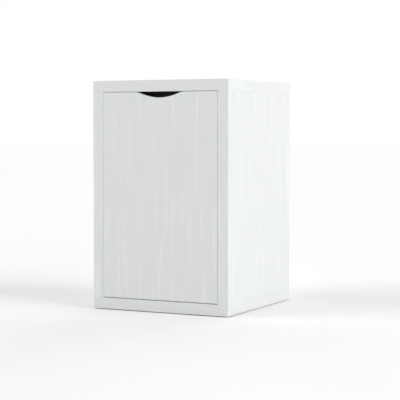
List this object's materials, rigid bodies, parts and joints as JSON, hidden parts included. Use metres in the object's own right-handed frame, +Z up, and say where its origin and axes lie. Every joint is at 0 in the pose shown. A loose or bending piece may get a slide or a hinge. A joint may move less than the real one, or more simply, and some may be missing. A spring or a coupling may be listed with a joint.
{
  "type": "cabinet trash compactor",
  "caption": "Upright wood-grain cabinet with an inset full-height drawer front and finger notch; inside, a sliding bin under a twin-screw motor-driven ram.",
  "frame": {"origin": "middle of the footprint, on the floor that the glides stand on", "axes": "+Z up, -Y out of the drawer front, +X to the right of someone who faces the front"},
  "size_m": [0.6, 0.605, 0.918],
  "materials": {
    "white_wood": "satin white paint over straight wood grain",
    "back_board": "plain painted board",
    "zinc_steel": "zinc plated",
    "bright_steel": "turned and ground",
    "stainless_plate": "brushed stainless",
    "grey_paint": "powder coat",
    "cast_parts": "cast, machined where it runs",
    "bronze": "turned bearing bronze",
    "nylon": "moulded nylon",
    "beech_dowel": "raw beech",
    "black_plastic": "fine texture",
    "grey_plastic": "moulded, fine texture",
    "chain_steel": "oiled",
    "cable_pvc": "smooth sleeve",
    "rubber": "soft bumper",
    "green_cap": "glossy cap",
    "red_cap": "glossy cap",
    "lens": "clear lens"
  },
  "bodies": {
    "cabinet": {"top_panel": "white_wood", "bottom_panel": "white_wood", "left_panel": "white_wood", "right_panel": "white_wood", "back_panel": "back_board", "panel_dowels": "beech_dowel", "back_screws": "zinc_steel", "floor_glides": "nylon", "base_plate": "zinc_steel", "left_column": "grey_paint", "right_column": "grey_paint", "top_beam": "grey_paint", "frame_bolts": "zinc_steel", "deck": "zinc_steel", "press_rails": "nylon", "foot_bearings": "cast_parts", "top_bushes": "bronze", "motor_bridge": "zinc_steel", "gearcase": "cast_parts", "gearcase_lid": "cast_parts", "motor_body": "cast_parts", "motor_cap": "black_plastic", "drive_chain": "chain_steel", "control_box": "black_plastic", "power_inlet": "black_plastic", "wiring_harness": "cable_pvc", "control_panel": "black_plastic", "indicator_lens": "lens", "slide_outers": "zinc_steel", "slide_spacers": "zinc_steel", "drawer_stops": "rubber", "drawer_sensor": "black_plastic"},
    "drawer": {"drawer_front": "white_wood", "finger_cup": "black_plastic", "front_frame": "zinc_steel", "front_screws": "zinc_steel", "carriage": "zinc_steel", "bin": "grey_plastic", "slide_inners": "zinc_steel"},
    "left_middle": {"left_slide_middle": "zinc_steel"},
    "right_middle": {"right_slide_middle": "zinc_steel"},
    "outer_cage_pair": {"outer_cages": "zinc_steel"},
    "inner_cage_pair": {"inner_cages": "zinc_steel"},
    "ram": {"ram_plate": "stainless_plate", "ram_shell": "grey_paint", "crosshead": "grey_paint", "power_nuts": "bronze", "guide_shoes": "nylon"},
    "left_power_screw": {"left_screw": "bright_steel", "left_sprocket": "cast_parts"},
    "right_power_screw": {"right_screw": "bright_steel", "right_sprocket": "cast_parts"},
    "drive": {"drive_shaft": "bright_steel", "drive_sprocket": "cast_parts", "reduction_gear": "cast_parts"},
    "rotor": {"motor_rotor": "bright_steel"},
    "start": {"start_button": "green_cap"},
    "stop": {"stop_button": "red_cap"},
    "key": {"key_lock": "bright_steel"}
  },
  "joints": [
    {"name": "drawer_slide", "type": "slide", "parent": "cabinet", "child": "drawer", "axis": [0, -1, 0], "range_m": [0, 0.45]},
    {"name": "left_middle_slide", "type": "slide", "parent": "cabinet", "child": "left_middle", "axis": [0, -1, 0], "range_m": [0, 0.225]},
    {"name": "right_middle_slide", "type": "slide", "parent": "cabinet", "child": "right_middle", "axis": [0, -1, 0], "range_m": [0, 0.225]},
    {"name": "outer_cage_slide", "type": "slide", "parent": "cabinet", "child": "outer_cage_pair", "axis": [0, -1, 0], "range_m": [0, 0.1125]},
    {"name": "inner_cage_slide", "type": "slide", "parent": "cabinet", "child": "inner_cage_pair", "axis": [0, -1, 0], "range_m": [0, 0.3375]},
    {"name": "motor_turn", "type": "hinge", "parent": "cabinet", "child": "rotor", "pos_m": [0.06125, 0.20593, 0.2], "axis": [0, 0, -1], "range_deg": [0, 60480]},
    {"name": "drive_turn", "type": "hinge", "parent": "cabinet", "child": "drive", "pos_m": [0, 0.20593, 0.08], "axis": [0, 0, 1], "range_deg": [0, 10080]},
    {"name": "left_screw_turn", "type": "hinge", "parent": "cabinet", "child": "left_power_screw", "pos_m": [-0.2275, -0.077, 0.4], "axis": [0, 0, 1], "range_deg": [0, 10080]},
    {"name": "right_screw_turn", "type": "hinge", "parent": "cabinet", "child": "right_power_screw", "pos_m": [0.2275, -0.077, 0.4], "axis": [0, 0, 1], "range_deg": [0, 10080]},
    {"name": "ram_slide", "type": "slide", "parent": "cabinet", "child": "ram", "axis": [0, 0, -1], "range_m": [0, 0.224]},
    {"name": "start_press", "type": "slide", "parent": "cabinet", "child": "start", "axis": [0, 1, 0], "range_m": [0, 0.002], "stiffness_N_per_m": 300, "springref_m": -0.002},
    {"name": "stop_press", "type": "slide", "parent": "cabinet", "child": "stop", "axis": [0, 1, 0], "range_m": [0, 0.002], "stiffness_N_per_m": 300, "springref_m": -0.002},
    {"name": "key_turn", "type": "hinge", "parent": "cabinet", "child": "key", "pos_m": [0.09, -0.2285, 0.8545], "axis": [0, -1, 0], "range_deg": [-90, 0]}
  ],
  "couplings": [
    {"joint": "left_middle_slide", "follows": "drawer_slide", "ratio": 0.5},
    {"joint": "right_middle_slide", "follows": "drawer_slide", "ratio": 0.5},
    {"joint": "outer_cage_slide", "follows": "drawer_slide", "ratio": 0.25},
    {"joint": "inner_cage_slide", "follows": "drawer_slide", "ratio": 0.75},
    {"joint": "drive_turn", "follows": "motor_turn", "ratio": 0.16667},
    {"joint": "left_screw_turn", "follows": "motor_turn", "ratio": 0.16667},
    {"joint": "right_screw_turn", "follows": "motor_turn", "ratio": 0.16667},
    {"joint": "ram_slide", "follows": "motor_turn", "m_per_rad": 0.00021221}
  ]
}
